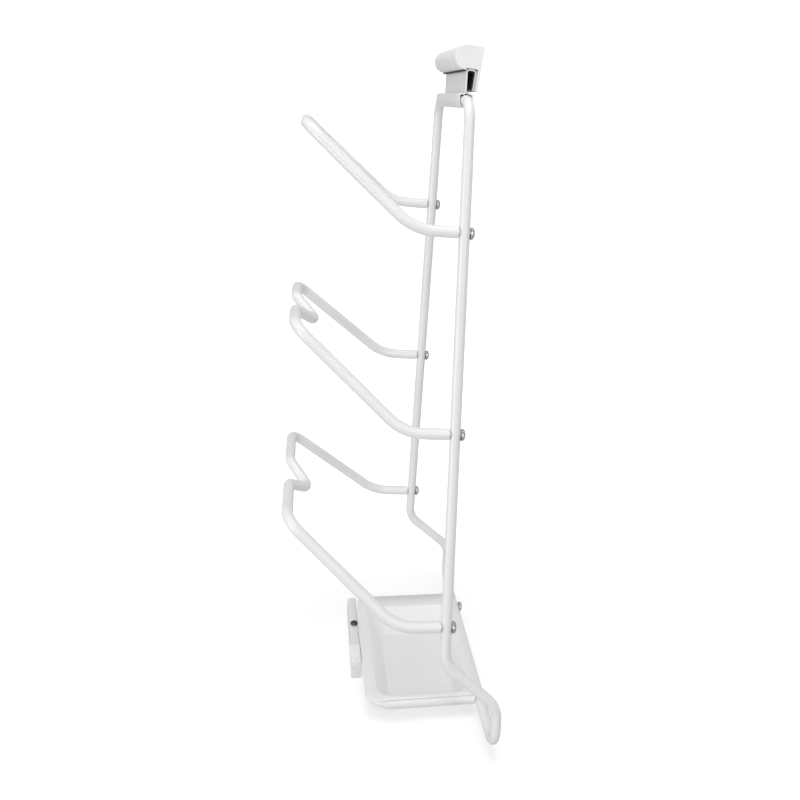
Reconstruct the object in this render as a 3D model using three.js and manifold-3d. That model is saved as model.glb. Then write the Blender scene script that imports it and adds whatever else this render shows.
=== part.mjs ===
// Hanging towel rack: a bent tube frame, three notched towel loops, a lift-out tray on a tube
// support, and a hook that clips over a rail and swivels on the frame's top bar.
// Millimetres, +Z up. +Y points to the wall, the loops point along -Y, and X runs along the bars.
// The origin is the middle of the hook's seat, where the rail's top edge bears.
import * as THREE from 'three';
import { mergeVertices } from 'three/addons/utils/BufferGeometryUtils.js';
import Module from 'manifold-3d';

const wasm = await Module();
wasm.setup();

// Driving dimensions. Heights are above the frame's bottom bar until the rack group is placed.
const GAP = 0.3;
const FRAME_TUBE_R = 5.7;
const LOOP_TUBE_R = 6;
const TUBE_WALL = 1.2;
const TUBE_SIDES = 12;
const BORE_SIDES = 8;
const BEND_STEPS = 4;

const BOTTOM_BAR = { z: 0, y: 58.8 };
const TOP_BAR_Z = 682;
const HALF_WIDTH_AT_BASE = 172.4;
const TAPER = 0.1025;
const JOGGLE = { topZ: 101, bottomZ: 48.8 };
const FRAME_BENDS = { top: 24, joggle: 32, bottom: 22 };

const LOOPS = {
  upper: { z: 553, leg: 50.8, arm: 143 },
  middle: { z: 348, leg: 52.7, arm: 149.6 },
  lower: { z: 142, leg: 52.7, arm: 153.6 },
};
const LEG_TILT = 0.0424;
const ARM_TILT = 0.732;
const ARM_CONVERGENCE = 0.27;
const NOTCH = { halfWidth: 32, depth: 30.5, bend: 9.5, tipBend: 12 };
const LOOP_BENDS = { leg: 54, front: 24 };

const SCREW = { headR: 6.2, headHeight: 4.4, shankR: 2.4, reach: 18, holeR: 2.7 };
const INSERT = { outerR: 4.1, start: 6.8, length: 15 };

const SUPPORT = { halfWidth: 91, frontY: -68, bend: 26 };
const TRAY = { sheet: 1.2, minX: -112.5, maxX: 93.2, minY: -74.3, maxY: 62, topZ: 7.2, cornerR: 12 };
const BOWL = { minX: -88, maxX: 87.5, minY: -62, maxY: 48.5, cornerR: 18 };
const FLOOR = { minX: -61.5, maxX: 58, minY: -45.5, maxY: 37, z: -17, cornerR: 9 };

const STRAP = { sheet: 1.6, halfWidth: 66, saddleHalfWidth: 77, clearance: 0.4, tongueY: 1.4, bend: 2.6 };
const HOOK = { tilt: THREE.MathUtils.degToRad(6), cornerY: 17.2, cornerZ: 735.8, halfLength: 71 };
const HOOK_NOSE = { r: 12.4, u: -16.5, boreR: 8.6 };
const HOOK_TAIL = { length: 45, wall: 2.8 };
const LINER = 0.9;
const CAP_THICKNESS = 1.6;

const BRACKET = { minX: -119, maxX: 14, minY: -86, maxY: -74.7, topZ: 2, height: 20, sheet: 1.6 };
const SLEEVE = { minX: -16, maxX: 18, wall: 0.8, corner: 2.6 };
const BRACKET_SCREW = { x: -60, headR: 4.7, headHeight: 3.6, shankR: 1.9, reach: 12, nutR: 3.4 };

const whiteCoat = new THREE.MeshStandardMaterial({ color: 0xeeeeec, roughness: 0.38, metalness: 0.1 });
const whitePlastic = new THREE.MeshStandardMaterial({ color: 0xf1f1ef, roughness: 0.45, metalness: 0 });
const whiteRubber = new THREE.MeshStandardMaterial({ color: 0xf7f6f2, roughness: 0.6, metalness: 0 });
const blackRubber = new THREE.MeshStandardMaterial({ color: 0x1a1a1b, roughness: 0.8, metalness: 0 });
const zinc = new THREE.MeshStandardMaterial({ color: 0xb4b6b8, roughness: 0.3, metalness: 1 });
const blackSteel = new THREE.MeshStandardMaterial({ color: 0x2b2b2d, roughness: 0.4, metalness: 0.8 });

// A round-cornered route through a list of corners, sampled only where it bends.
class BentPath extends THREE.Curve {
  constructor(corners, radii) {
    super();
    this.samples = [corners[0].clone()];
    for (let i = 1; i < corners.length - 1; i += 1) {
      this.samples.push(...bend(corners[i - 1], corners[i], corners[i + 1], radii[i - 1]));
    }
    this.samples.push(corners[corners.length - 1].clone());
    this.steps = this.samples.length - 1;
  }

  getPoint(t) {
    return this.samples[Math.round(t * this.steps)].clone();
  }

  getPointAt(u) {
    return this.getPoint(u);
  }

  getTangentAt(u) {
    const i = Math.round(u * this.steps);
    const before = this.samples[Math.max(i - 1, 0)];
    const here = this.samples[i];
    const after = this.samples[Math.min(i + 1, this.steps)];
    const incoming = here.clone().sub(before).normalize();
    const outgoing = after.clone().sub(here).normalize();
    return incoming.add(outgoing).normalize();
  }
}

// Points of the arc that rounds the corner b between a and c.
function bend(a, b, c, radius) {
  const toA = a.clone().sub(b).normalize();
  const toC = c.clone().sub(b).normalize();
  const halfAngle = toA.angleTo(toC) / 2;
  const centre = toA.clone().add(toC).normalize().multiplyScalar(radius / Math.sin(halfAngle)).add(b);
  const start = toA.clone().multiplyScalar(radius / Math.tan(halfAngle)).add(b).sub(centre);
  const end = toC.clone().multiplyScalar(radius / Math.tan(halfAngle)).add(b).sub(centre);
  const axis = start.clone().cross(end).normalize();
  const sweep = start.angleTo(end);
  const points = [];
  for (let i = 0; i <= BEND_STEPS; i += 1) {
    points.push(start.clone().applyAxisAngle(axis, (sweep * i) / BEND_STEPS).add(centre));
  }
  return points;
}

function circlePoints(radius, sides) {
  const points = [];
  for (let i = 0; i < sides; i += 1) {
    const angle = (2 * Math.PI * (i + 0.5)) / sides;
    points.push(new THREE.Vector2(radius * Math.cos(angle), radius * Math.sin(angle)));
  }
  return points;
}

function tubeGeometry(path, radius) {
  const section = new THREE.Shape(circlePoints(radius, TUBE_SIDES));
  section.holes.push(new THREE.Path(circlePoints(radius - TUBE_WALL, BORE_SIDES).reverse()));
  return new THREE.ExtrudeGeometry(section, { steps: path.steps, extrudePath: path, bevelEnabled: false });
}

// Booleans.
function merged(geometry) {
  const plain = geometry.clone();
  plain.deleteAttribute('normal');
  plain.deleteAttribute('uv');
  return mergeVertices(plain, 1e-4);
}

function toSolid(geometry) {
  const plain = merged(geometry);
  return new wasm.Manifold(new wasm.Mesh({
    numProp: 3,
    vertProperties: new Float32Array(plain.attributes.position.array),
    triVerts: new Uint32Array(plain.index.array),
  }));
}

function toGeometry(solid) {
  const mesh = solid.getMesh();
  const geometry = new THREE.BufferGeometry();
  geometry.setAttribute('position', new THREE.BufferAttribute(mesh.vertProperties, 3));
  geometry.setIndex(new THREE.BufferAttribute(mesh.triVerts, 1));
  geometry.computeVertexNormals();
  return geometry;
}

function mirroredInX(geometry) {
  const mirror = merged(geometry);
  mirror.applyMatrix4(new THREE.Matrix4().makeScale(-1, 1, 1));
  const index = mirror.index.array;
  for (let i = 0; i < index.length; i += 3) {
    [index[i], index[i + 1]] = [index[i + 1], index[i]];
  }
  return mirror;
}

// Frame.
function uprightX(z) {
  return HALF_WIDTH_AT_BASE - TAPER * z;
}

const LEG_JOINTS = [
  ...Object.values(LOOPS).map(({ z }) => ({ x: uprightX(z), y: 0, z, tilt: LEG_TILT })),
  { x: SUPPORT.halfWidth, y: BOTTOM_BAR.y, z: BOTTOM_BAR.z, tilt: 0 },
];

function frameGeometry() {
  const corners = [
    new THREE.Vector3(0, BOTTOM_BAR.y, BOTTOM_BAR.z),
    new THREE.Vector3(uprightX(BOTTOM_BAR.z), BOTTOM_BAR.y, BOTTOM_BAR.z),
    new THREE.Vector3(uprightX(JOGGLE.bottomZ), BOTTOM_BAR.y, JOGGLE.bottomZ),
    new THREE.Vector3(uprightX(JOGGLE.topZ), 0, JOGGLE.topZ),
    new THREE.Vector3(uprightX(TOP_BAR_Z), 0, TOP_BAR_Z),
    new THREE.Vector3(0, 0, TOP_BAR_Z),
  ];
  const bends = [FRAME_BENDS.bottom, FRAME_BENDS.joggle, FRAME_BENDS.joggle, FRAME_BENDS.top];
  const half = tubeGeometry(new BentPath(corners, bends), FRAME_TUBE_R);
  let frame = toSolid(half).add(toSolid(mirroredInX(half)));
  for (const joint of LEG_JOINTS) {
    for (const side of [-1, 1]) {
      const drill = new THREE.CylinderGeometry(SCREW.holeR, SCREW.holeR, 4 * FRAME_TUBE_R, TUBE_SIDES);
      drill.rotateX(-joint.tilt);
      drill.translate(side * joint.x, joint.y, joint.z);
      frame = frame.subtract(toSolid(drill));
    }
  }
  return toGeometry(frame);
}

// Towel loops: legs straight out from the uprights, then a rising, narrowing arm on each side
// and a front bar with a V notch that dips back towards the frame.
function loopGeometry({ z, leg, arm }) {
  const legX = uprightX(z);
  const frontX = legX - ARM_CONVERGENCE * arm;
  const legStart = FRAME_TUBE_R + 2 * GAP;
  const onLeg = (x, s) => new THREE.Vector3(x, -s * Math.cos(LEG_TILT), z + s * Math.sin(LEG_TILT));
  const onArm = (x, s) => {
    const point = onLeg(x, leg);
    point.y -= s * Math.cos(ARM_TILT);
    point.z += s * Math.sin(ARM_TILT);
    return point;
  };
  const right = [
    onLeg(legX, legStart),
    onLeg(legX, leg),
    onArm(frontX, arm),
    onArm(NOTCH.halfWidth, arm),
  ];
  const left = right.map((point) => new THREE.Vector3(-point.x, point.y, point.z)).reverse();
  const corners = [...right, onArm(0, arm - NOTCH.depth), ...left];
  const sideBends = [LOOP_BENDS.leg, LOOP_BENDS.front, NOTCH.bend];
  const bends = [...sideBends, NOTCH.tipBend, ...sideBends.slice().reverse()];
  return tubeGeometry(new BentPath(corners, bends), LOOP_TUBE_R);
}

function supportGeometry() {
  const endY = BOTTOM_BAR.y - FRAME_TUBE_R - 2 * GAP;
  const corners = [
    new THREE.Vector3(-SUPPORT.halfWidth, endY, BOTTOM_BAR.z),
    new THREE.Vector3(-SUPPORT.halfWidth, SUPPORT.frontY, BOTTOM_BAR.z),
    new THREE.Vector3(SUPPORT.halfWidth, SUPPORT.frontY, BOTTOM_BAR.z),
    new THREE.Vector3(SUPPORT.halfWidth, endY, BOTTOM_BAR.z),
  ];
  return tubeGeometry(new BentPath(corners, [SUPPORT.bend, SUPPORT.bend]), FRAME_TUBE_R);
}

// Dome-head screw along local Y, head at +Y, seated on the back of a tube.
function screwGeometry({ headR, headHeight, shankR, reach }, seat) {
  const profile = [
    [0, -reach], [shankR, -reach], [shankR, seat], [headR, seat], [headR, seat + 0.3 * headHeight],
    [0.82 * headR, seat + 0.7 * headHeight], [0.5 * headR, seat + 0.93 * headHeight], [0, seat + headHeight],
  ];
  return new THREE.LatheGeometry(profile.map(([x, y]) => new THREE.Vector2(x, y)), TUBE_SIDES);
}

function ringGeometry(innerR, outerR, bottom, top, sides) {
  const profile = [[innerR, bottom], [outerR, bottom], [outerR, top], [innerR, top], [innerR, bottom]];
  return new THREE.LatheGeometry(profile.map(([x, y]) => new THREE.Vector2(x, y)), sides);
}

// Tray: a pressed dish, built from rings of one rounded rectangle each.
function roundedRing({ minX, maxX, minY, maxY, cornerR }, z) {
  const points = [];
  const centres = [[1, 1], [-1, 1], [-1, -1], [1, -1]];
  centres.forEach(([sx, sy], quarter) => {
    const cx = sx > 0 ? maxX - cornerR : minX + cornerR;
    const cy = sy > 0 ? maxY - cornerR : minY + cornerR;
    for (let i = 0; i <= BEND_STEPS; i += 1) {
      const angle = (Math.PI / 2) * (quarter + i / BEND_STEPS);
      points.push([cx + cornerR * Math.cos(angle), cy + cornerR * Math.sin(angle), z]);
    }
  });
  return points;
}

// A closed skin over rings in order, closed with a flat fan at both ends.
function loftGeometry(rings) {
  const count = rings[0].length;
  const index = [];
  for (let r = 0; r < rings.length - 1; r += 1) {
    for (let i = 0; i < count; i += 1) {
      const a = r * count + i;
      const b = r * count + ((i + 1) % count);
      index.push(a, b, b + count, a, b + count, a + count);
    }
  }
  const last = (rings.length - 1) * count;
  for (let i = 1; i < count - 1; i += 1) {
    index.push(0, i + 1, i, last, last + i, last + i + 1);
  }
  const geometry = new THREE.BufferGeometry();
  geometry.setAttribute('position', new THREE.Float32BufferAttribute(rings.flat(2), 3));
  geometry.setIndex(index);
  geometry.computeVertexNormals();
  return geometry;
}

function inset(outline, amount) {
  return {
    minX: outline.minX + amount,
    maxX: outline.maxX - amount,
    minY: outline.minY + amount,
    maxY: outline.maxY - amount,
    cornerR: outline.cornerR - amount,
  };
}

function trayGeometry() {
  const underFlange = TRAY.topZ - TRAY.sheet;
  return loftGeometry([
    roundedRing(FLOOR, FLOOR.z - TRAY.sheet),
    roundedRing(BOWL, underFlange),
    roundedRing(TRAY, underFlange),
    roundedRing(TRAY, TRAY.topZ),
    roundedRing(inset(BOWL, TRAY.sheet), TRAY.topZ),
    roundedRing(inset(FLOOR, TRAY.sheet), FLOOR.z),
  ]);
}

// Side profiles are drawn in (Y, Z) and extruded along X.
function extrudeAlongX(shape, minX, maxX) {
  const geometry = new THREE.ExtrudeGeometry(shape, { depth: maxX - minX, bevelEnabled: false, curveSegments: 7 });
  const y = new THREE.Vector3(0, 1, 0);
  const z = new THREE.Vector3(0, 0, 1);
  const x = new THREE.Vector3(1, 0, 0);
  geometry.applyMatrix4(new THREE.Matrix4().makeBasis(y, z, x));
  geometry.translate(minX, 0, 0);
  return geometry;
}

// The outline of a bent sheet that follows corners (Y, Z) at mid thickness.
function sheetShape(corners, radii, thickness) {
  const path = new BentPath(corners.map(([y, z]) => new THREE.Vector3(y, z, 0)), radii);
  const leftSide = [];
  const rightSide = [];
  for (let i = 0; i <= path.steps; i += 1) {
    const tangent = path.getTangentAt(i / path.steps);
    const normal = new THREE.Vector2(-tangent.y, tangent.x).multiplyScalar(thickness / 2);
    const point = new THREE.Vector2(path.samples[i].x, path.samples[i].y);
    leftSide.push(point.clone().add(normal));
    rightSide.push(point.clone().sub(normal));
  }
  return new THREE.Shape([...rightSide, ...leftSide.reverse()]);
}

// The hook's own axes: u runs back along its top face, v runs up its tail, from the rear top corner.
function hookPoint(u, v) {
  const c = Math.cos(HOOK.tilt);
  const s = Math.sin(HOOK.tilt);
  return [HOOK.cornerY + u * c + v * s, HOOK.cornerZ - u * s + v * c];
}

const SEAT_V = -2 * HOOK_NOSE.r;
const STRAP_TAIL_U = -(HOOK_TAIL.wall + GAP + STRAP.sheet / 2);
const STRAP_SEAT_V = SEAT_V + STRAP.sheet / 2;
const LINER_U = STRAP_TAIL_U - STRAP.sheet / 2 - GAP - LINER / 2;
const LINER_V = SEAT_V - GAP - LINER / 2;

// Bent strap: wraps the top bar, rises as a tongue, turns back over the seat and down the tail.
function strapGeometry() {
  const r = FRAME_TUBE_R + STRAP.clearance + STRAP.sheet / 2;
  const shelfZ = TOP_BAR_Z + r;
  const lapY = STRAP.tongueY + STRAP.sheet + GAP;
  const seatFrontU = (STRAP.tongueY - HOOK.cornerY - STRAP_SEAT_V * Math.sin(HOOK.tilt)) / Math.cos(HOOK.tilt);
  const corners = [
    [lapY, shelfZ], [r, shelfZ], [r, TOP_BAR_Z - r], [-r, TOP_BAR_Z - r], [-r, shelfZ],
    [STRAP.tongueY, shelfZ], hookPoint(seatFrontU, STRAP_SEAT_V), hookPoint(STRAP_TAIL_U, STRAP_SEAT_V),
    hookPoint(STRAP_TAIL_U, 1 - HOOK_TAIL.length),
  ];
  const radii = [STRAP.bend, r - 0.1, r - 0.1, STRAP.bend, STRAP.bend, STRAP.bend, STRAP.bend];
  const strap = extrudeAlongX(sheetShape(corners, radii, STRAP.sheet), -STRAP.halfWidth, STRAP.halfWidth);
  const saddleCorners = [...corners.slice(0, 5), [STRAP.tongueY - STRAP.bend - STRAP.clearance, shelfZ]];
  const saddleShape = sheetShape(saddleCorners, radii.slice(0, 4), STRAP.sheet);
  const saddle = extrudeAlongX(saddleShape, -STRAP.saddleHalfWidth, STRAP.saddleHalfWidth);
  return toGeometry(toSolid(strap).add(toSolid(saddle)));
}

// P-shaped outline: tail, flat top and round nose, with the step that sits over the strap.
function hookOutline() {
  const points = [];
  const tailEnd = -HOOK_TAIL.length;
  const ceiling = SEAT_V + STRAP.sheet + GAP;
  const noseEndU = -15;
  const cornerCut = 1.2;
  points.push([-HOOK_TAIL.wall, tailEnd], [0, tailEnd], [0, -cornerCut], [-cornerCut, 0]);
  const steps = 14;
  for (let i = 0; i <= steps; i += 1) {
    const angle = Math.PI / 2 + (Math.PI * i) / steps;
    points.push([HOOK_NOSE.u + HOOK_NOSE.r * Math.cos(angle), HOOK_NOSE.r * (Math.sin(angle) - 1)]);
  }
  points.push([noseEndU, SEAT_V], [noseEndU, ceiling], [-HOOK_TAIL.wall, ceiling]);
  return points.map(([u, v]) => new THREE.Vector2(...hookPoint(u, v)));
}

function hookCoverGeometry() {
  const shape = new THREE.Shape(hookOutline());
  const [boreY, boreZ] = hookPoint(HOOK_NOSE.u, -HOOK_NOSE.r);
  const bore = circlePoints(HOOK_NOSE.boreR, TUBE_SIDES).reverse();
  shape.holes.push(new THREE.Path(bore.map((point) => new THREE.Vector2(point.x + boreY, point.y + boreZ))));
  return extrudeAlongX(shape, -HOOK.halfLength, HOOK.halfLength);
}

function linerGeometry() {
  const corners = [[-10.4, LINER_V], [LINER_U, LINER_V], [LINER_U, 2 - HOOK_TAIL.length]];
  const shape = sheetShape(corners.map(([u, v]) => hookPoint(u, v)), [0.8], LINER);
  return extrudeAlongX(shape, -STRAP.halfWidth, STRAP.halfWidth);
}

function gasketGeometry() {
  const top = SEAT_V - GAP;
  const corners = [[-17.6, top - 1.2], [-15.4, top - 1.2], [-15.4, top], [-17, top], [-17.6, top - 0.4]];
  const shape = new THREE.Shape(corners.map(([u, v]) => new THREE.Vector2(...hookPoint(u, v))));
  return extrudeAlongX(shape, -STRAP.halfWidth, STRAP.halfWidth);
}

// Bracket on the front of the tray support: an inverted channel with a soft sleeve on one end.
function bracketGeometry() {
  const { minY, maxY, topZ, height, sheet } = BRACKET;
  const corners = [
    [minY + sheet / 2, topZ - height], [minY + sheet / 2, topZ - sheet / 2],
    [maxY - sheet / 2, topZ - sheet / 2], [maxY - sheet / 2, topZ - height],
  ];
  const channel = extrudeAlongX(sheetShape(corners, [1.8, 1.8], sheet), BRACKET.minX, BRACKET.maxX);
  const drillR = BRACKET_SCREW.shankR + GAP;
  const drill = new THREE.CylinderGeometry(drillR, drillR, 3 * sheet, TUBE_SIDES);
  drill.rotateX(Math.PI / 2);
  drill.translate(BRACKET_SCREW.x, (minY + maxY) / 2, topZ - sheet / 2);
  return toGeometry(toSolid(channel).subtract(toSolid(drill)));
}

function blockShape(minY, maxY, minZ, maxZ, r) {
  const points = [];
  const centres = [[maxY - r, maxZ - r], [minY + r, maxZ - r], [minY + r, minZ + r], [maxY - r, minZ + r]];
  centres.forEach(([cy, cz], quarter) => {
    for (let i = 0; i <= BEND_STEPS; i += 1) {
      const angle = (Math.PI / 2) * (quarter + i / BEND_STEPS);
      points.push(new THREE.Vector2(cy + r * Math.cos(angle), cz + r * Math.sin(angle)));
    }
  });
  return new THREE.Shape(points);
}

function sleeveGeometry() {
  const { minY, maxY, topZ, height } = BRACKET;
  const bottomZ = topZ - height;
  const grow = GAP + SLEEVE.wall;
  const backGap = GAP + 0.2;
  const outerShape = blockShape(minY - grow, maxY + backGap, bottomZ - grow, topZ + grow, SLEEVE.corner);
  const block = extrudeAlongX(outerShape, SLEEVE.minX, SLEEVE.maxX);
  const pocketShape = blockShape(minY - GAP, maxY + GAP / 2, bottomZ - GAP, topZ + GAP, GAP);
  const pocket = extrudeAlongX(pocketShape, SLEEVE.minX - 1, BRACKET.maxX + GAP);
  return toGeometry(toSolid(block).subtract(toSolid(pocket)));
}

// Assembly.
const rack = new THREE.Group();

function addPiece(parent, name, geometry, material) {
  const mesh = new THREE.Mesh(geometry, material);
  mesh.name = name;
  parent.add(mesh);
  return mesh;
}

function addLegFixing(name, side, joint) {
  const fixing = new THREE.Group();
  fixing.position.set(side * joint.x, joint.y, joint.z);
  fixing.rotation.x = -joint.tilt;
  addPiece(fixing, `${name}_screw`, screwGeometry(SCREW, FRAME_TUBE_R + GAP), zinc);
  const insertEnd = -INSERT.start;
  const insert = ringGeometry(SCREW.holeR, INSERT.outerR, insertEnd - INSERT.length, insertEnd, TUBE_SIDES);
  addPiece(fixing, `${name}_insert`, insert, zinc);
  rack.add(fixing);
}

addPiece(rack, 'main_frame', frameGeometry(), whiteCoat);
for (const [name, sizes] of Object.entries(LOOPS)) {
  addPiece(rack, `${name}_towel_loop`, loopGeometry(sizes), whiteCoat);
}
const legNames = [...Object.keys(LOOPS), 'tray_support'];
legNames.forEach((name, i) => {
  addLegFixing(`${name}_left`, -1, LEG_JOINTS[i]);
  addLegFixing(`${name}_right`, 1, LEG_JOINTS[i]);
});
addPiece(rack, 'tray_support', supportGeometry(), whiteCoat);
addPiece(rack, 'tray', trayGeometry(), whiteCoat);

addPiece(rack, 'hanger_strap', strapGeometry(), whiteCoat);
addPiece(rack, 'hook_cover', hookCoverGeometry(), whitePlastic);
const capStart = HOOK.halfLength + GAP;
const capEnd = capStart + CAP_THICKNESS;
addPiece(rack, 'end_cap_left', extrudeAlongX(new THREE.Shape(hookOutline()), -capEnd, -capStart), whitePlastic);
addPiece(rack, 'end_cap_right', extrudeAlongX(new THREE.Shape(hookOutline()), capStart, capEnd), whitePlastic);
addPiece(rack, 'jaw_liner', linerGeometry(), blackRubber);
addPiece(rack, 'nose_gasket', gasketGeometry(), blackRubber);

addPiece(rack, 'front_bracket', bracketGeometry(), whiteCoat);
addPiece(rack, 'bracket_sleeve', sleeveGeometry(), whiteRubber);
const clamp = new THREE.Group();
clamp.position.set(BRACKET_SCREW.x, (BRACKET.minY + BRACKET.maxY) / 2, BRACKET.topZ);
clamp.rotation.x = Math.PI / 2;
addPiece(clamp, 'bracket_screw', screwGeometry(BRACKET_SCREW, GAP), blackSteel);
const nutTop = -BRACKET.sheet - GAP;
const nut = ringGeometry(BRACKET_SCREW.shankR + GAP, BRACKET_SCREW.nutR, nutTop - 3.4, nutTop, 6);
addPiece(clamp, 'bracket_nut', nut, blackSteel);
rack.add(clamp);

const [seatY, seatZ] = hookPoint(-8, LINER_V - LINER / 2);
rack.position.set(0, -seatY, -seatZ);

const towelRack = new THREE.Group();
towelRack.add(rack);
export default towelRack;
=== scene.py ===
"""Hanging towel rack: finished surfaces, materials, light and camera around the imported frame."""

import math

import bmesh
import bpy
from mathutils import Matrix, Vector


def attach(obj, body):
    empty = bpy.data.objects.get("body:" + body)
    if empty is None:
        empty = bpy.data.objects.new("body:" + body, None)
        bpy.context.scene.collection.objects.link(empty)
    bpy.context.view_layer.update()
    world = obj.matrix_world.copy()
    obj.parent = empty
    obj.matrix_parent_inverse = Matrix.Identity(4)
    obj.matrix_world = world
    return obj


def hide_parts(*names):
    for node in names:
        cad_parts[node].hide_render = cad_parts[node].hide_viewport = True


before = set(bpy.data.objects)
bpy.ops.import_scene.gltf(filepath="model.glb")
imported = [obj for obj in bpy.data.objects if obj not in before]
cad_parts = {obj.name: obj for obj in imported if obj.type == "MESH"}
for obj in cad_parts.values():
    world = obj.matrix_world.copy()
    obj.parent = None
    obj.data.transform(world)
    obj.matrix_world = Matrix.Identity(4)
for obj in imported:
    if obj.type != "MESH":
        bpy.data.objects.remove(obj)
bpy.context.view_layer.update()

MM = 0.001

# Small reductions that keep the smooth surfaces inside the CAD part's box. SIDE_FIT moves the towel
# loops in with the uprights, while their screws and inserts stay where the CAD part has them.
TUBE_FIT = 0.985
SIDE_FIT = 0.25
HOOK_TOP_FIT = 0.08

# Driving sizes shared with the CAD part, in millimetres. Heights are above the frame's bottom bar.
FRAME_TUBE_R = 5.7
LOOP_TUBE_R = 6.0
BOTTOM_BAR_Y = 58.8
BOTTOM_BAR_Z = 0.0
TOP_BAR_Z = 682.0
HALF_WIDTH_AT_BASE = 172.4
TAPER = 0.1025
JOGGLE_TOP_Z = 101.0
JOGGLE_BOTTOM_Z = 48.8
FRAME_BENDS = {"top": 24.0, "joggle": 32.0, "bottom": 22.0}

LOOPS = {
    "upper": {"z": 553.0, "leg": 50.8, "arm": 143.0},
    "middle": {"z": 348.0, "leg": 52.7, "arm": 149.6},
    "lower": {"z": 142.0, "leg": 52.7, "arm": 153.6},
}
LEG_TILT = 0.0424
ARM_TILT = 0.732
ARM_CONVERGENCE = 0.27
NOTCH_HALF_WIDTH = 32.0
NOTCH_DEPTH = 30.5
LOOP_BENDS = {"leg": 54.0, "front": 24.0, "notch": 9.5, "notch_tip": 12.0}

GAP = 0.3
SCREW = {"head_r": 6.2, "head_height": 4.4, "shank_r": 2.4, "reach": 18.0}
SUPPORT_HALF_WIDTH = 91.0
SUPPORT_FRONT_Y = -68.0
SUPPORT_BEND = 26.0

TRAY_SHEET = 1.2
TRAY_TOP_Z = 7.2
TRAY_FLOOR_Z = -17.0
# The bowl and the floor are given at the upper skin, one sheet inside the CAD part's outlines.
TRAY_RIM = {"min_x": -112.5, "max_x": 93.2, "min_y": -74.3, "max_y": 62.0, "r": 12.0}
TRAY_BOWL = {"min_x": -86.8, "max_x": 86.3, "min_y": -60.8, "max_y": 47.3, "r": 16.8}
TRAY_FLOOR = {"min_x": -60.3, "max_x": 56.8, "min_y": -44.3, "max_y": 35.8, "r": 7.8}

STRAP_SHEET = 1.6
STRAP_HALF_WIDTH = 66.0
SADDLE_HALF_WIDTH = 77.0
STRAP_CLEARANCE = 0.4
STRAP_BEND = 2.6
TONGUE_Y = 1.4
HOOK_TILT = math.radians(6.0)
HOOK_CORNER_Y = 17.2
HOOK_CORNER_Z = 735.8
HOOK_HALF_LENGTH = 71.0
NOSE_R = 12.4
NOSE_U = -16.5
NOSE_END_U = -15.0
# The CAD part cuts this corner off straight.
HOOK_CORNER_R = 1.8
TAIL_LENGTH = 45.0
TAIL_WALL = 2.8
STRAP_TAIL_V = 1 - TAIL_LENGTH
LINER = 0.9
LINER_START_U = -10.4
LINER_BEND = 0.8
LINER_TAIL_V = 2 - TAIL_LENGTH
GASKET_SECTION = [(-17.6, 1.2), (-15.4, 1.2), (-15.4, 0.0), (-17.0, 0.0), (-17.6, 0.4)]
CAP_THICKNESS = 1.6

BRACKET = {"min_x": -119.0, "max_x": 14.0, "min_y": -86.0, "max_y": -74.7, "top_z": 2.0, "height": 20.0}
BRACKET_SHEET = 1.6
BRACKET_BEND = 1.8
SLEEVE_MIN_X = -16.0
SLEEVE_MAX_X = 18.0
SLEEVE_WALL = 0.8
SLEEVE_CORNER = 2.6
SLEEVE_BACK = 0.2
SLEEVE_POCKET_BACK = 0.15
BRACKET_SCREW = {"head_r": 4.7, "head_height": 3.6, "shank_r": 1.9, "reach": 12.0}
BRACKET_SCREW_X = -60.0


def hook_point(u, v):
    """(Y, Z) of a point given along the hook's own top face (u) and tail (v)."""
    c, s = math.cos(HOOK_TILT), math.sin(HOOK_TILT)
    return HOOK_CORNER_Y + u * c + v * s, HOOK_CORNER_Z - u * s + v * c


SEAT_U = -8.0
SEAT_V = -2 * NOSE_R
LINER_V = SEAT_V - GAP - LINER / 2
SEAT = hook_point(SEAT_U, LINER_V - LINER / 2)
ROW_OFFSET = Vector((0.0, -SEAT[0], -SEAT[1]))


def to_row(x, y, z):
    """A point in millimetres above the bottom bar, as metres in the row frame."""
    return (Vector((x, y, z)) + ROW_OFFSET) * MM


# ---------------------------------------------------------------- mesh helpers
def add_object(name, data):
    obj = bpy.data.objects.new(name, data)
    bpy.context.scene.collection.objects.link(obj)
    return obj


def new_object(name, verts, faces, sharp_degrees=32.0):
    mesh = bpy.data.meshes.new(name)
    mesh.from_pydata([tuple(v) for v in verts], [], faces)
    mesh.validate()
    work = bmesh.new()
    work.from_mesh(mesh)
    bmesh.ops.recalc_face_normals(work, faces=work.faces)
    work.to_mesh(mesh)
    work.free()
    mesh.shade_smooth()
    mesh.set_sharp_from_angle(angle=math.radians(sharp_degrees))
    return add_object(name, mesh)


def finish_piece(obj, node, body, material):
    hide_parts(node)
    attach(obj, body)
    give_material(obj, material)


def give_material(obj, material):
    obj.data.materials.clear()
    obj.data.materials.append(material)


def rounded_route(corners, radii, degrees_per_step=4.0):
    """The corners as a list of points, with each inner corner rounded to its radius."""
    route = [corners[0].copy()]
    for i, radius in enumerate(radii, start=1):
        corner = corners[i]
        to_last = (corners[i - 1] - corner).normalized()
        to_next = (corners[i + 1] - corner).normalized()
        half = to_last.angle(to_next) / 2
        centre = corner + (to_last + to_next).normalized() * radius / math.sin(half)
        start = corner + to_last * radius / math.tan(half) - centre
        end = corner + to_next * radius / math.tan(half) - centre
        axis = start.cross(end).normalized()
        sweep = start.angle(end)
        steps = max(3, math.ceil(math.degrees(sweep) / degrees_per_step))
        route += [centre + Matrix.Rotation(sweep * k / steps, 3, axis) @ start for k in range(steps + 1)]
    route.append(corners[-1].copy())
    return route


def split_long_runs(route, longest):
    """The route with extra points, so that no stretch is longer than that."""
    dense = [route[0]]
    for last, here in zip(route, route[1:]):
        pieces = max(1, math.ceil((here - last).length / longest))
        dense += [last.lerp(here, k / pieces) for k in range(1, pieces + 1)]
    return dense


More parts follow.
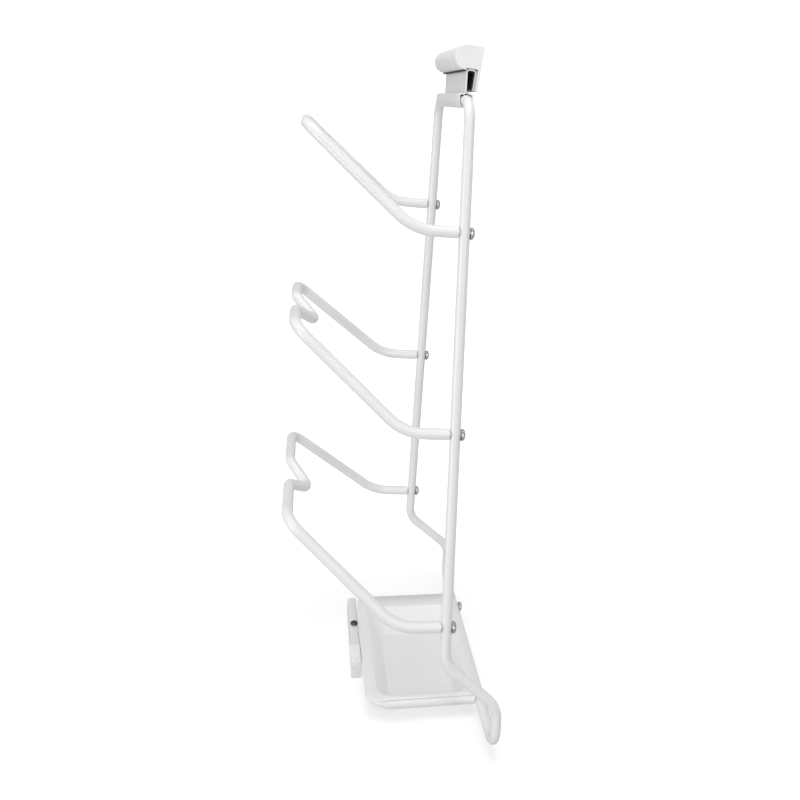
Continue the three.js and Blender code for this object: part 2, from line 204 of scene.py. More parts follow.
def tangents_of(route, closed):
    count = len(route)
    tangents = []
    for i, here in enumerate(route):
        before = route[i - 1] if closed or i else here
        after = route[(i + 1) % count] if closed or i < count - 1 else here
        tangents.append(((here - before).normalized() + (after - here).normalized()).normalized())
    return tangents


def tube(name, route, radius, closed=False, sides=40, chamfer=0.5):
    """A round tube of one radius along a route in millimetres. Open ends are chamfered and capped."""
    radius *= TUBE_FIT
    tangents = tangents_of(route, closed)
    rings = [(point, tangent, radius) for point, tangent in zip(route, tangents)]
    if not closed:
        first, last = rings[0], rings[-1]
        rings[0] = (first[0] + first[1] * chamfer, first[1], radius)
        rings[-1] = (last[0] - last[1] * chamfer, last[1], radius)
        rings.insert(0, (first[0], first[1], radius - chamfer))
        rings.append((last[0], last[1], radius - chamfer))
    normal = rings[0][1].orthogonal().normalized()
    verts = []
    last_tangent = rings[0][1]
    for point, tangent, r in rings:
        normal = last_tangent.rotation_difference(tangent) @ normal
        last_tangent = tangent
        side = tangent.cross(normal).normalized()
        for k in range(sides):
            angle = 2 * math.pi * k / sides
            verts.append(to_row(*(point + (normal * math.cos(angle) + side * math.sin(angle)) * r)))
    faces = []
    shift = closing_shift(verts, sides) if closed else 0
    for i in range(len(rings) if closed else len(rings) - 1):
        at_seam = i == len(rings) - 1
        here, after = i * sides, (0 if at_seam else (i + 1) * sides)
        turn = shift if at_seam else 0
        for k in range(sides):
            b = (k + 1) % sides
            faces.append((here + k, here + b, after + (b + turn) % sides, after + (k + turn) % sides))
    if not closed:
        faces.append(tuple(reversed(range(sides))))
        faces.append(tuple(range(len(verts) - sides, len(verts))))
    return new_object(name, verts, faces)


def closing_shift(verts, sides):
    """How many sides to turn the first ring by, so that it meets the last ring without a twist."""
    first, last = verts[:sides], verts[-sides:]
    return min(range(sides), key=lambda turn: (first[turn] - last[0]).length)


def rounded_outline(corners, radii, steps=8):
    """A closed (Y, Z) outline whose corners are rounded by the given radii, 0 for sharp."""
    outline = []
    count = len(corners)
    for i, radius in enumerate(radii):
        corner = Vector((*corners[i], 0.0))
        if not radius:
            outline.append(corners[i])
            continue
        before = Vector((*corners[i - 1], 0.0))
        after = Vector((*corners[(i + 1) % count], 0.0))
        arc = rounded_route([before, corner, after], [radius], 90.0 / steps)[1:-1]
        outline += [(p.x, p.y) for p in arc]
    return outline


def extrusion(name, outline, min_x, max_x, bevel):
    """A (Y, Z) outline extruded along X, with its edges bevelled unless the bevel is 0."""
    work = bmesh.new()
    ring = [work.verts.new(to_row(min_x, y, z)) for y, z in outline]
    for a, b in zip(ring, ring[1:] + ring[:1]):
        work.edges.new((a, b))
    bmesh.ops.triangle_fill(work, edges=list(work.edges), use_beauty=True)
    bmesh.ops.dissolve_limit(work, angle_limit=0.001, verts=list(work.verts), edges=list(work.edges))
    grown = bmesh.ops.extrude_face_region(work, geom=list(work.faces))
    moved = [e for e in grown["geom"] if isinstance(e, bmesh.types.BMVert)]
    bmesh.ops.translate(work, verts=moved, vec=((max_x - min_x) * MM, 0.0, 0.0))
    bmesh.ops.recalc_face_normals(work, faces=work.faces)
    mesh = bpy.data.meshes.new(name)
    work.to_mesh(mesh)
    work.free()
    obj = add_object(name, mesh)
    mesh.shade_smooth()
    mesh.set_sharp_from_angle(angle=math.radians(30.0))
    if bevel:
        add_bevel(obj, bevel)
    return obj


def add_bevel(obj, width, segments=3, degrees=40.0):
    modifier = obj.modifiers.new("soft_edges", "BEVEL")
    modifier.width = width * MM
    modifier.segments = segments
    modifier.limit_method = "ANGLE"
    modifier.angle_limit = math.radians(degrees)
    modifier.harden_normals = True


def sheet_outline(corners, radii, thickness):
    """The outline of a bent sheet that follows (Y, Z) corners at mid thickness."""
    route = rounded_route([Vector((y, z, 0.0)) for y, z in corners], radii, 9.0)
    near, far = [], []
    for point, tangent in zip(route, tangents_of(route, False)):
        normal = Vector((-tangent.y, tangent.x, 0.0)) * thickness / 2
        near.append(((point + normal).x, (point + normal).y))
        far.append(((point - normal).x, (point - normal).y))
    return near + far[::-1]


def skin_faces(rings, sides):
    """Faces between stacked rings of points, with the first and last ring closed."""
    faces = []
    for i in range(rings - 1):
        for k in range(sides):
            b = (k + 1) % sides
            faces.append((i * sides + k, i * sides + b, (i + 1) * sides + b, (i + 1) * sides + k))
    faces.append(tuple(reversed(range(sides))))
    faces.append(tuple(range((rings - 1) * sides, rings * sides)))
    return faces


def lathe_with_cross(name, profile, cross, sides=48):
    """A turned piece along +Z in millimetres from a (radius, height) profile, with a cross recess."""
    verts = []
    for r, z in profile:
        for k in range(sides):
            angle = 2 * math.pi * k / sides
            verts.append(Vector((r * math.cos(angle), r * math.sin(angle), z)) * MM)
    obj = new_object(name, verts, skin_faces(len(profile), sides), sharp_degrees=28.0)
    combine(obj, cross_cutter(name + "_cutter", *cross), "DIFFERENCE")
    return obj


def cross_cutter(name, reach, width, top, depth):
    """A tapered plus-shaped wedge that cuts a screw's drive recess."""
    h = width / 2
    quarter = [(h, h), (h, reach), (-h, reach)]
    plus = []
    for turn in range(4):
        c, s = round(math.cos(turn * math.pi / 2)), round(math.sin(turn * math.pi / 2))
        plus += [(x * c - y * s, x * s + y * c) for x, y in quarter]
    count = len(plus)
    verts = [Vector((x, y, top)) * MM for x, y in plus]
    verts += [Vector((x * 0.45, y * 0.45, top - depth)) * MM for x, y in plus]
    faces = [tuple(range(count)), tuple(reversed(range(count, 2 * count)))]
    faces += [(k, k + count, (k + 1) % count + count, (k + 1) % count) for k in range(count)]
    return new_object(name, verts, faces)


def combine(obj, other, operation):
    """Joins the other piece to this one, or cuts it away, and removes it."""
    modifier = obj.modifiers.new("combine", "BOOLEAN")
    modifier.operation = operation
    modifier.object = other
    modifier.solver = "EXACT"
    bpy.context.view_layer.update()
    evaluated = obj.evaluated_get(bpy.context.evaluated_depsgraph_get())
    mesh = bpy.data.meshes.new_from_object(evaluated)
    obj.modifiers.clear()
    obj.data = mesh
    bpy.data.objects.remove(other)
    mesh.shade_smooth()
    mesh.set_sharp_from_angle(angle=math.radians(28.0))


# ---------------------------------------------------------------- materials
def principled(name, color, roughness, metallic=0.0):
    material = bpy.data.materials.new(name)
    material.use_nodes = True
    shader = material.node_tree.nodes["Principled BSDF"]
    shader.inputs["Base Color"].default_value = (*color, 1.0)
    shader.inputs["Roughness"].default_value = roughness
    shader.inputs["Metallic"].default_value = metallic
    return material, material.node_tree, shader


def object_noise(tree, scale, detail=4.0):
    place = tree.nodes.new("ShaderNodeTexCoord")
    noise = tree.nodes.new("ShaderNodeTexNoise")
    noise.inputs["Scale"].default_value = scale
    noise.inputs["Detail"].default_value = detail
    tree.links.new(place.outputs["Object"], noise.inputs["Vector"])
    return noise.outputs["Fac"]


def ramp(tree, factor, low, high, start=0.35, end=0.65):
    node = tree.nodes.new("ShaderNodeValToRGB")
    node.color_ramp.elements[0].position = start
    node.color_ramp.elements[1].position = end
    node.color_ramp.elements[0].color = (*low, 1.0)
    node.color_ramp.elements[1].color = (*high, 1.0)
    tree.links.new(factor, node.inputs["Fac"])
    return node.outputs["Color"]


def vary_roughness(tree, shader, factor, low, high):
    node = tree.nodes.new("ShaderNodeMapRange")
    node.inputs["To Min"].default_value = low
    node.inputs["To Max"].default_value = high
    tree.links.new(factor, node.inputs["Value"])
    tree.links.new(node.outputs["Result"], shader.inputs["Roughness"])


def add_bump(tree, shader, height, strength, distance_mm):
    node = tree.nodes.new("ShaderNodeBump")
    node.inputs["Strength"].default_value = strength
    node.inputs["Distance"].default_value = distance_mm * MM
    tree.links.new(height, node.inputs["Height"])
    tree.links.new(node.outputs["Normal"], shader.inputs["Normal"])


def powder_coat(name, low, high, roughness):
    """Satin powder coat: faint cloudiness, fine orange-peel texture and slightly uneven gloss."""
    material, tree, shader = principled(name, high, roughness)
    tree.links.new(ramp(tree, object_noise(tree, 18.0), low, high, 0.2, 0.8), shader.inputs["Base Color"])
    vary_roughness(tree, shader, object_noise(tree, 120.0, 3.0), roughness - 0.04, roughness + 0.06)
    add_bump(tree, shader, object_noise(tree, 300.0, 2.0), 0.08, 0.05)
    shader.inputs["Specular IOR Level"].default_value = 0.5
    shader.inputs["Coat Weight"].default_value = 0.45
    shader.inputs["Coat Roughness"].default_value = 0.22
    return material


def moulded_plastic():
    material, tree, shader = principled("white_plastic", (0.87, 0.87, 0.86), 0.42)
    tone = ramp(tree, object_noise(tree, 35.0), (0.855, 0.855, 0.848), (0.885, 0.885, 0.88))
    tree.links.new(tone, shader.inputs["Base Color"])
    vary_roughness(tree, shader, object_noise(tree, 420.0), 0.38, 0.5)
    add_bump(tree, shader, object_noise(tree, 1600.0, 3.0), 0.1, 0.04)
    return material


def soft_rubber(name, low, high, roughness):
    material, tree, shader = principled(name, high, roughness)
    tree.links.new(ramp(tree, object_noise(tree, 140.0), low, high), shader.inputs["Base Color"])
    vary_roughness(tree, shader, object_noise(tree, 500.0), roughness - 0.08, roughness + 0.08)
    add_bump(tree, shader, object_noise(tree, 1200.0, 4.0), 0.25, 0.08)
    return material


def rubber_with_painted_end_shade():
    """White rubber with painted shade in warm, noisy patches that darken the sleeve more towards its free
    end.
    """
    material, tree, shader = principled("white_rubber", (0.9, 0.89, 0.87), 0.55)
    place = tree.nodes.new("ShaderNodeTexCoord")
    split = tree.nodes.new("ShaderNodeSeparateXYZ")
    tree.links.new(place.outputs["Object"], split.inputs["Vector"])
    along = tree.nodes.new("ShaderNodeMapRange")
    along.interpolation_type = "SMOOTHSTEP"
    along.inputs["From Min"].default_value = SLEEVE_MIN_X * MM
    along.inputs["From Max"].default_value = SLEEVE_MAX_X * MM
    tree.links.new(split.outputs["X"], along.inputs["Value"])
    # Painted shade: position along the sleeve times noise, darkening its free end in warm patches.
    painted_end_shade = tree.nodes.new("ShaderNodeMath")
    painted_end_shade.operation = "MULTIPLY"
    tree.links.new(along.outputs["Result"], painted_end_shade.inputs[0])
    tree.links.new(object_noise(tree, 260.0, 6.0), painted_end_shade.inputs[1])
    tone = ramp(tree, painted_end_shade.outputs["Value"], (0.93, 0.925, 0.915), (0.78, 0.72, 0.66), 0.45, 0.85)
    tree.links.new(tone, shader.inputs["Base Color"])
    vary_roughness(tree, shader, object_noise(tree, 300.0), 0.48, 0.66)
    add_bump(tree, shader, object_noise(tree, 1200.0, 4.0), 0.2, 0.08)
    return material


def bright_metal(name, low, high, roughness):
    """Plated steel with fine turning marks and a little tarnish."""
    material, tree, shader = principled(name, high, roughness, 1.0)
    tree.links.new(ramp(tree, object_noise(tree, 300.0), low, high), shader.inputs["Base Color"])
    vary_roughness(tree, shader, object_noise(tree, 900.0), roughness - 0.06, roughness + 0.12)
    add_bump(tree, shader, object_noise(tree, 2400.0, 2.0), 0.15, 0.03)
    return material


WHITE_COAT = powder_coat("white_coat", (0.825, 0.825, 0.82), (0.85, 0.85, 0.845), 0.33)
# Painted light: the strap's copy of the white coat is painted brighter than the tubes', standing in for more
# light on its front faces.
SHEET_COAT_WITH_PAINTED_LIGHT = powder_coat("white_sheet", (0.855, 0.855, 0.85), (0.885, 0.885, 0.88), 0.36)
# Painted light: the tray's copy of the white coat is painted brighter than the tubes', standing in for more
# light on the tray.
TRAY_COAT_WITH_PAINTED_LIGHT = powder_coat("white_tray", (0.86, 0.86, 0.856), (0.885, 0.885, 0.88), 0.36)
WHITE_PLASTIC = moulded_plastic()
WHITE_RUBBER = rubber_with_painted_end_shade()
BLACK_RUBBER_AND_SHADE = soft_rubber("black_rubber", (0.012, 0.012, 0.013), (0.03, 0.03, 0.031), 0.7)
ZINC = bright_metal("zinc", (0.42, 0.43, 0.44), (0.66, 0.67, 0.68), 0.26)
BLACK_STEEL = bright_metal("black_steel", (0.07, 0.07, 0.075), (0.2, 0.2, 0.21), 0.34)


# ---------------------------------------------------------------- rack body
def upright_x(z):
    return HALF_WIDTH_AT_BASE - TAPER * z


def make_frame():
    right = [
        Vector((upright_x(BOTTOM_BAR_Z), BOTTOM_BAR_Y, BOTTOM_BAR_Z)),
        Vector((upright_x(JOGGLE_BOTTOM_Z), BOTTOM_BAR_Y, JOGGLE_BOTTOM_Z)),
        Vector((upright_x(JOGGLE_TOP_Z), 0.0, JOGGLE_TOP_Z)),
        Vector((upright_x(TOP_BAR_Z), 0.0, TOP_BAR_Z)),
    ]
    for point in right:
        point.x -= SIDE_FIT
    left = [Vector((-p.x, p.y, p.z)) for p in reversed(right)]
    start = Vector((0.0, BOTTOM_BAR_Y, BOTTOM_BAR_Z))
    side = [FRAME_BENDS["bottom"], FRAME_BENDS["joggle"], FRAME_BENDS["joggle"], FRAME_BENDS["top"]]
    route = rounded_route([start, *right, *left, start], side + side[::-1])
    route = split_long_runs(route, 40.0)[:-1]
    obj = tube("frame_tube", route, FRAME_TUBE_R, closed=True)
    finish_piece(obj, "main_frame", "rack", WHITE_COAT)


def make_loop(name, z, leg, arm):
    leg_x = upright_x(z)
    front_x = leg_x - ARM_CONVERGENCE * arm

    def on_leg(x, s):
        return Vector((x, -s * math.cos(LEG_TILT), z + s * math.sin(LEG_TILT)))

    def on_arm(x, s):
        return on_leg(x, leg) + Vector((0.0, -s * math.cos(ARM_TILT), s * math.sin(ARM_TILT)))

    right = [
        on_leg(leg_x, FRAME_TUBE_R + 2 * GAP),
        on_leg(leg_x, leg),
        on_arm(front_x, arm),
        on_arm(NOTCH_HALF_WIDTH, arm),
    ]
    for point in right:
        point.x -= SIDE_FIT
    left = [Vector((-p.x, p.y, p.z)) for p in reversed(right)]
    corners = [*right, on_arm(0.0, arm - NOTCH_DEPTH), *left]
    side = [LOOP_BENDS["leg"], LOOP_BENDS["front"], LOOP_BENDS["notch"]]
    route = rounded_route(corners, [*side, LOOP_BENDS["notch_tip"], *side[::-1]])
    obj = tube(name + "_loop_tube", split_long_runs(route, 30.0), LOOP_TUBE_R)
    finish_piece(obj, name + "_towel_loop", "rack", WHITE_COAT)


def make_support():
    end_y = BOTTOM_BAR_Y - FRAME_TUBE_R - 2 * GAP
    corners = [
        Vector((-SUPPORT_HALF_WIDTH, end_y, BOTTOM_BAR_Z)),
        Vector((-SUPPORT_HALF_WIDTH, SUPPORT_FRONT_Y, BOTTOM_BAR_Z)),
        Vector((SUPPORT_HALF_WIDTH, SUPPORT_FRONT_Y, BOTTOM_BAR_Z)),
        Vector((SUPPORT_HALF_WIDTH, end_y, BOTTOM_BAR_Z)),
    ]
    route = split_long_runs(rounded_route(corners, [SUPPORT_BEND, SUPPORT_BEND]), 30.0)
    obj = tube("support_tube", route, FRAME_TUBE_R)
    finish_piece(obj, "tray_support", "rack", WHITE_COAT)


def screw_profile(size, seat):
    """(radius, height) steps of a pan-head screw whose head sits at that height."""
    r, h = size["head_r"], size["head_height"]
    edge = 0.25
    rim_z = seat + 0.28 * h
    profile = [(size["shank_r"] * 0.7, -size["reach"]), (size["shank_r"], 0.8 - size["reach"])]
    profile += [(size["shank_r"], seat), (r - edge, seat), (r, seat + edge), (r, rim_z)]
    steps = 9
    for k in range(1, steps + 1):
        angle = math.pi / 2 * k / steps
        radius = max(r * math.cos(angle) ** 0.8, 0.15)
        profile.append((radius, rim_z + 0.71 * h * math.sin(angle)))
    return profile


def make_screw(name, size, seat, centre, axis, node, material):
    top = seat + size["head_height"] + 0.2
    cross = (0.56 * size["head_r"], 0.2 * size["head_r"], top, 0.62 * size["head_height"])
    obj = lathe_with_cross(name, screw_profile(size, seat), cross)
    turn = Vector((0.0, 0.0, 1.0)).rotation_difference(axis).to_matrix().to_4x4()
    obj.data.transform(Matrix.Translation(to_row(*centre)) @ turn)
    finish_piece(obj, node, "rack", material)


def make_leg_screws():
    joints = [(name, upright_x(loop["z"]), 0.0, loop["z"], LEG_TILT) for name, loop in LOOPS.items()]
    joints.append(("tray_support", SUPPORT_HALF_WIDTH, BOTTOM_BAR_Y, BOTTOM_BAR_Z, 0.0))
    for name, x, y, z, tilt in joints:
        axis = Vector((0.0, math.cos(tilt), -math.sin(tilt)))
        for side, label in ((-1, "left"), (1, "right")):
            full = f"{name}_{label}"
            centre = (side * x, y, z)
            seat = FRAME_TUBE_R + GAP
            make_screw(full + "_pan_screw", SCREW, seat, centre, axis, full + "_screw", ZINC)
            give_material(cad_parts[full + "_insert"], ZINC)


# ---------------------------------------------------------------- tray
def rounded_ring(outline, z, per_corner):
    r = outline["r"]
    points = []
    for quarter, (sx, sy) in enumerate(((1, 1), (-1, 1), (-1, -1), (1, -1))):
        cx = outline["max_x"] - r if sx > 0 else outline["min_x"] + r
        cy = outline["max_y"] - r if sy > 0 else outline["min_y"] + r
        for k in range(per_corner + 1):
            angle = math.pi / 2 * (quarter + k / per_corner)
            points.append(to_row(cx + r * math.cos(angle), cy + r * math.sin(angle), z))
    return points


def mix_outlines(a, b, t):
    return {key: a[key] + (b[key] - a[key]) * t for key in a}


def tray_skin(bend, steps):
    """(outline, height) rings of the upper skin from rim to floor, with press bends of about that radius."""
    run = (TRAY_FLOOR["min_x"] - TRAY_BOWL["min_x"] + TRAY_BOWL["max_x"] - TRAY_FLOOR["max_x"]) / 2
    corners = [(-run, TRAY_TOP_Z), (0.0, TRAY_TOP_Z), (run, TRAY_FLOOR_Z), (2 * run, TRAY_FLOOR_Z)]
    route = rounded_route([Vector((x, z, 0.0)) for x, z in corners], [bend, bend], 40.0 / steps)
    return [(mix_outlines(TRAY_BOWL, TRAY_FLOOR, p.x / run), p.y) for p in route[1:-1]]


def make_tray():
    edge = 0.35
    inner_rim = {
        "min_x": TRAY_RIM["min_x"] + edge,
        "max_x": TRAY_RIM["max_x"] - edge,
        "min_y": TRAY_RIM["min_y"] + edge,
        "max_y": TRAY_RIM["max_y"] - edge,
        "r": TRAY_RIM["r"] - edge,
    }
    top = [(inner_rim, TRAY_TOP_Z), *tray_skin(bend=3.0, steps=6)]
    outer = [(TRAY_RIM, TRAY_TOP_Z - edge), (TRAY_RIM, TRAY_TOP_Z - TRAY_SHEET + edge)]
    below = [(outline, z - TRAY_SHEET) for outline, z in top]
    loops = top[::-1] + outer + below
    per_corner = 12
    verts = [p for outline, z in loops for p in rounded_ring(outline, z, per_corner)]
    count = 4 * (per_corner + 1)
    obj = new_object("tray_pressing", verts, skin_faces(len(loops), count), sharp_degrees=50.0)
    finish_piece(obj, "tray", "tray", TRAY_COAT_WITH_PAINTED_LIGHT)


# ---------------------------------------------------------------- hanger
def make_strap():
    r = FRAME_TUBE_R + STRAP_CLEARANCE + STRAP_SHEET / 2
    shelf_z = TOP_BAR_Z + r
    seat_v = SEAT_V + STRAP_SHEET / 2
    tail_u = -(TAIL_WALL + GAP + STRAP_SHEET / 2)
    front_u = (TONGUE_Y - HOOK_CORNER_Y - seat_v * math.sin(HOOK_TILT)) / math.cos(HOOK_TILT)
    corners = [
        (TONGUE_Y + STRAP_SHEET + GAP, shelf_z), (r, shelf_z), (r, TOP_BAR_Z - r), (-r, TOP_BAR_Z - r),
        (-r, shelf_z), (TONGUE_Y, shelf_z), hook_point(front_u, seat_v), hook_point(tail_u, seat_v),
        hook_point(tail_u, STRAP_TAIL_V),
    ]
    radii = [STRAP_BEND, r - 0.1, r - 0.1, STRAP_BEND, STRAP_BEND, STRAP_BEND, STRAP_BEND]
    outline = sheet_outline(corners, radii, STRAP_SHEET)
    strap = extrusion("hanger_strap_sheet", outline, -STRAP_HALF_WIDTH, STRAP_HALF_WIDTH, 0)
    saddle_end = (TONGUE_Y - STRAP_BEND - STRAP_CLEARANCE, shelf_z)
    outline = sheet_outline([*corners[:5], saddle_end], radii[:4], STRAP_SHEET)
    saddle = extrusion("hanger_saddle", outline, -SADDLE_HALF_WIDTH, SADDLE_HALF_WIDTH, 0)
    combine(strap, saddle, "UNION")
    add_bevel(strap, 0.25)
    finish_piece(strap, "hanger_strap", "hanger", SHEET_COAT_WITH_PAINTED_LIGHT)


def hook_outline():
    """The hook's end view: rounded nose, flat top, tail, and the room for the strap under it."""
    ceiling = SEAT_V + STRAP_SHEET + GAP
    nose_r = NOSE_R - HOOK_TOP_FIT
    corner = rounded_outline([(-6.0, 0.0), (0.0, 0.0), (0.0, -6.0)], [0, HOOK_CORNER_R, 0])[1:-1]
    points = [(-TAIL_WALL, -TAIL_LENGTH), (0.0, -TAIL_LENGTH), *corner[::-1]]
    steps = 40
    for k in range(steps + 1):
        angle = math.pi / 2 + math.pi * k / steps
        points.append((NOSE_U + nose_r * math.cos(angle), nose_r * math.sin(angle) - NOSE_R))
    points += [(NOSE_END_U, SEAT_V), (NOSE_END_U, ceiling), (-TAIL_WALL, ceiling)]
    return [hook_point(u, min(v, -HOOK_TOP_FIT)) for u, v in points]


def make_hook():
    cover = extrusion("hook_profile", hook_outline(), -HOOK_HALF_LENGTH, HOOK_HALF_LENGTH, 0.15)
    finish_piece(cover, "hook_cover", "hanger", WHITE_PLASTIC)
    start = HOOK_HALF_LENGTH + GAP
    for side, label in ((-1, "left"), (1, "right")):
        ends = sorted((side * start, side * (start + CAP_THICKNESS)))
        cap = extrusion(f"cap_{label}", hook_outline(), *ends, bevel=0.45)
        finish_piece(cap, f"end_cap_{label}", "hanger", WHITE_PLASTIC)


def make_hook_rubber_and_shade():
    u = -(TAIL_WALL + STRAP_SHEET + 2 * GAP + LINER / 2)
    # Black rubber lining the jaw. Its black is partly real rubber and partly painted shade, standing in for
    # the shade inside the jaw.
    corners = [hook_point(LINER_START_U, LINER_V), hook_point(u, LINER_V), hook_point(u, LINER_TAIL_V)]
    outline = sheet_outline(corners, [LINER_BEND], LINER)
    liner = extrusion("jaw_rubber_and_painted_shade", outline, -STRAP_HALF_WIDTH, STRAP_HALF_WIDTH, 0.1)
    finish_piece(liner, "jaw_liner", "hanger", BLACK_RUBBER_AND_SHADE)
    # Black rubber strip under the nose. Its black is partly real rubber and partly painted shadow, standing
    # in for the shadow gap under the nose.
    top = SEAT_V - GAP
    section = [hook_point(u, top - drop) for u, drop in GASKET_SECTION]
    gasket = extrusion("nose_rubber_and_painted_shadow", section, -STRAP_HALF_WIDTH, STRAP_HALF_WIDTH, 0.1)
    finish_piece(gasket, "nose_gasket", "hanger", BLACK_RUBBER_AND_SHADE)


# ---------------------------------------------------------------- bracket
def make_bracket():
    half = BRACKET_SHEET / 2
    low_z = BRACKET["top_z"] - BRACKET["height"]
    top_z = BRACKET["top_z"] - half
    near_y, back_y = BRACKET["min_y"] + half, BRACKET["max_y"] - half
    corners = [(near_y, low_z), (near_y, top_z), (back_y, top_z), (back_y, low_z)]
    outline = sheet_outline(corners, [BRACKET_BEND, BRACKET_BEND], BRACKET_SHEET)
    channel = extrusion("bracket_channel", outline, BRACKET["min_x"], BRACKET["max_x"], 0.25)
    finish_piece(channel, "front_bracket", "rack", WHITE_COAT)
    grow = GAP + SLEEVE_WALL
    low_y, high_y = BRACKET["min_y"] - grow, BRACKET["max_y"] + GAP + SLEEVE_BACK
    low, high = low_z - grow, BRACKET["top_z"] + grow
    box = rounded_outline([(high_y, high), (low_y, high), (low_y, low), (high_y, low)], [SLEEVE_CORNER] * 4)
    front_y, rear_y = BRACKET["min_y"] - GAP, BRACKET["max_y"] + SLEEVE_POCKET_BACK
    roof_z, base_z = BRACKET["top_z"] + GAP, low_z - GAP
    pocket = [(rear_y, roof_z), (front_y, roof_z), (front_y, base_z), (rear_y, base_z)]
    sleeve = extrusion("sleeve_body", box, SLEEVE_MIN_X, SLEEVE_MAX_X, 0)
    cutter = extrusion("sleeve_cutter", pocket, SLEEVE_MIN_X - 1, BRACKET["max_x"] + GAP, 0)
    combine(sleeve, cutter, "DIFFERENCE")
    add_bevel(sleeve, 0.7, 4, 50.0)
    finish_piece(sleeve, "bracket_sleeve", "rack", WHITE_RUBBER)
    centre = (BRACKET_SCREW_X, (BRACKET["min_y"] + BRACKET["max_y"]) / 2, BRACKET["top_z"])
    up = Vector((0.0, 0.0, 1.0))
    make_screw(
        "bracket_pan_screw", BRACKET_SCREW, GAP, centre, up, "bracket_screw", BLACK_STEEL
    )
    give_material(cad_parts["bracket_nut"], BLACK_STEEL)


# ---------------------------------------------------------------- stage, light and camera
FLOOR_Z = -19.6
STAGE_REACH = 9000.0
CAMERA_PLACE = (924.0, -153.9, 676.7)
CAMERA_AZIMUTH = 1.3814
CAMERA_PITCH = 0.2053
CAMERA_ROLL = 0.0649
CAMERA_LENS = 37.54
CAMERA_SHIFT = (-0.078, -0.150)
SENSOR_WIDTH = 36.0
ROOM_LIGHT = 0.52
LIGHT_TARGET = (0.0, -40.0, 340.0)

# Name, azimuth and elevation in degrees, distance and size in metres, watts.
SOFT_BOXES = [
    ("front_box", 28.0, -6.0, 2.2, (0.45, 1.5), 15.5),
    ("rear_box", 112.0, 18.0, 2.2, (0.3, 1.5), 7.5),
    ("side_box", 79.0, 30.0, 2.4, (0.9, 1.1), 3.5),
    ("top_box", 60.0, 80.0, 2.2, (1.4, 1.4), 20.0),
]

# The floor's own glow rises between these distances, in metres, from the point under the origin.
FLOOR_GLOW = {"From Min": 0.2, "From Max": 0.6, "To Min": 0.5, "To Max": 0.85}


def as_backdrop(obj):
    """Marks a stage piece that the camera sees, but that neither lights nor shades the rack."""
    obj.visible_diffuse = False
    obj.visible_glossy = False
    obj.visible_shadow = False


def make_floor():
    """A pale plane whose own glow grows outwards, so that it stays evenly white away from the lights."""
    corners = [(-1, -1), (1, -1), (1, 1), (-1, 1)]
    verts = [to_row(x * STAGE_REACH, y * STAGE_REACH, FLOOR_Z) for x, y in corners]
    floor = new_object("floor", verts, [(0, 1, 2, 3)])
    material, tree, shader = principled("floor", (0.6, 0.6, 0.6), 0.9)
    shader.inputs["Specular IOR Level"].default_value = 0.0
    shader.inputs["Emission Color"].default_value = (1.0, 1.0, 1.0, 1.0)
    place = tree.nodes.new("ShaderNodeTexCoord")
    flat = tree.nodes.new("ShaderNodeVectorMath")
    flat.operation = "MULTIPLY"
    flat.inputs[1].default_value = (1.0, 1.0, 0.0)
    reach = tree.nodes.new("ShaderNodeVectorMath")
    reach.operation = "LENGTH"
    glow = tree.nodes.new("ShaderNodeMapRange")
    for socket, value in FLOOR_GLOW.items():
        glow.inputs[socket].default_value = value
    tree.links.new(place.outputs["Object"], flat.inputs[0])
    tree.links.new(flat.outputs["Vector"], reach.inputs[0])
    tree.links.new(reach.outputs["Value"], glow.inputs["Value"])
    tree.links.new(glow.outputs["Result"], shader.inputs["Emission Strength"])
    floor.data.materials.append(material)
    as_backdrop(floor)


def make_backdrop():
    work = bmesh.new()
    bmesh.ops.create_icosphere(work, subdivisions=4, radius=STAGE_REACH * MM)
    mesh = bpy.data.meshes.new("backdrop")
    work.to_mesh(mesh)
    work.free()
    backdrop = add_object("backdrop", mesh)
    material, _, shader = principled("backdrop", (1.0, 1.0, 1.0), 1.0)
    shader.inputs["Emission Color"].default_value = (1.0, 1.0, 1.0, 1.0)
    shader.inputs["Emission Strength"].default_value = 1.0
    mesh.materials.append(material)
    as_backdrop(backdrop)


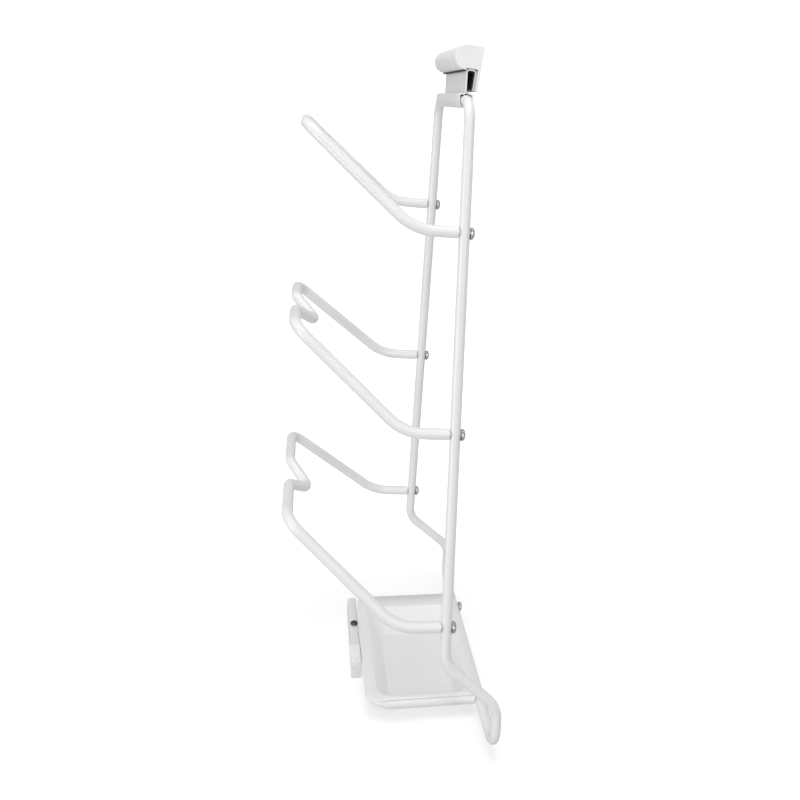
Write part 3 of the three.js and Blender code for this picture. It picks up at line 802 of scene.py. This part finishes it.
def add_area(name, azimuth, elevation, distance, size, watts):
    """A soft box aimed at the middle of the rack. Azimuth 0 is in front of it, 90 at its right."""
    a, e = math.radians(azimuth), math.radians(elevation)
    target = to_row(*LIGHT_TARGET)
    away = Vector((math.sin(a) * math.cos(e), -math.cos(a) * math.cos(e), math.sin(e)))
    data = bpy.data.lights.new(name, "AREA")
    data.shape = "RECTANGLE"
    data.size, data.size_y = size
    data.energy = watts
    obj = add_object(name, data)
    obj.location = target + away * distance
    obj.rotation_euler = (-away).to_track_quat("-Z", "Y").to_euler()


def make_light():
    world = bpy.data.worlds.new("studio")
    bpy.context.scene.world = world
    world.use_nodes = True
    background = world.node_tree.nodes["Background"]
    background.inputs["Color"].default_value = (1.0, 1.0, 1.0, 1.0)
    background.inputs["Strength"].default_value = ROOM_LIGHT
    for box in SOFT_BOXES:
        add_area(*box)
    bpy.context.scene.view_settings.view_transform = "Standard"
    bpy.context.scene.view_settings.look = "None"


def make_camera():
    data = bpy.data.cameras.new("camera")
    camera = add_object("camera", data)
    data.sensor_width = SENSOR_WIDTH
    data.lens = CAMERA_LENS
    data.shift_x, data.shift_y = CAMERA_SHIFT
    a, e = CAMERA_AZIMUTH, CAMERA_PITCH
    forward = Vector((-math.sin(a) * math.cos(e), math.cos(a) * math.cos(e), -math.sin(e)))
    level = forward.cross(Vector((0.0, 0.0, 1.0))).normalized()
    up = level.cross(forward)
    right = level * math.cos(CAMERA_ROLL) + up * math.sin(CAMERA_ROLL)
    up = right.cross(forward)
    axes = Matrix((right, up, -forward)).transposed().to_4x4()
    camera.matrix_world = Matrix.Translation(to_row(*CAMERA_PLACE)) @ axes
    data.clip_start = 0.01
    data.clip_end = 50.0
    bpy.context.scene.camera = camera


make_frame()
for loop_name, loop_sizes in LOOPS.items():
    make_loop(loop_name, **loop_sizes)
make_support()
make_leg_screws()
make_tray()
make_strap()
make_hook()
make_hook_rubber_and_shade()
make_bracket()
make_floor()
make_backdrop()
make_light()
make_camera()
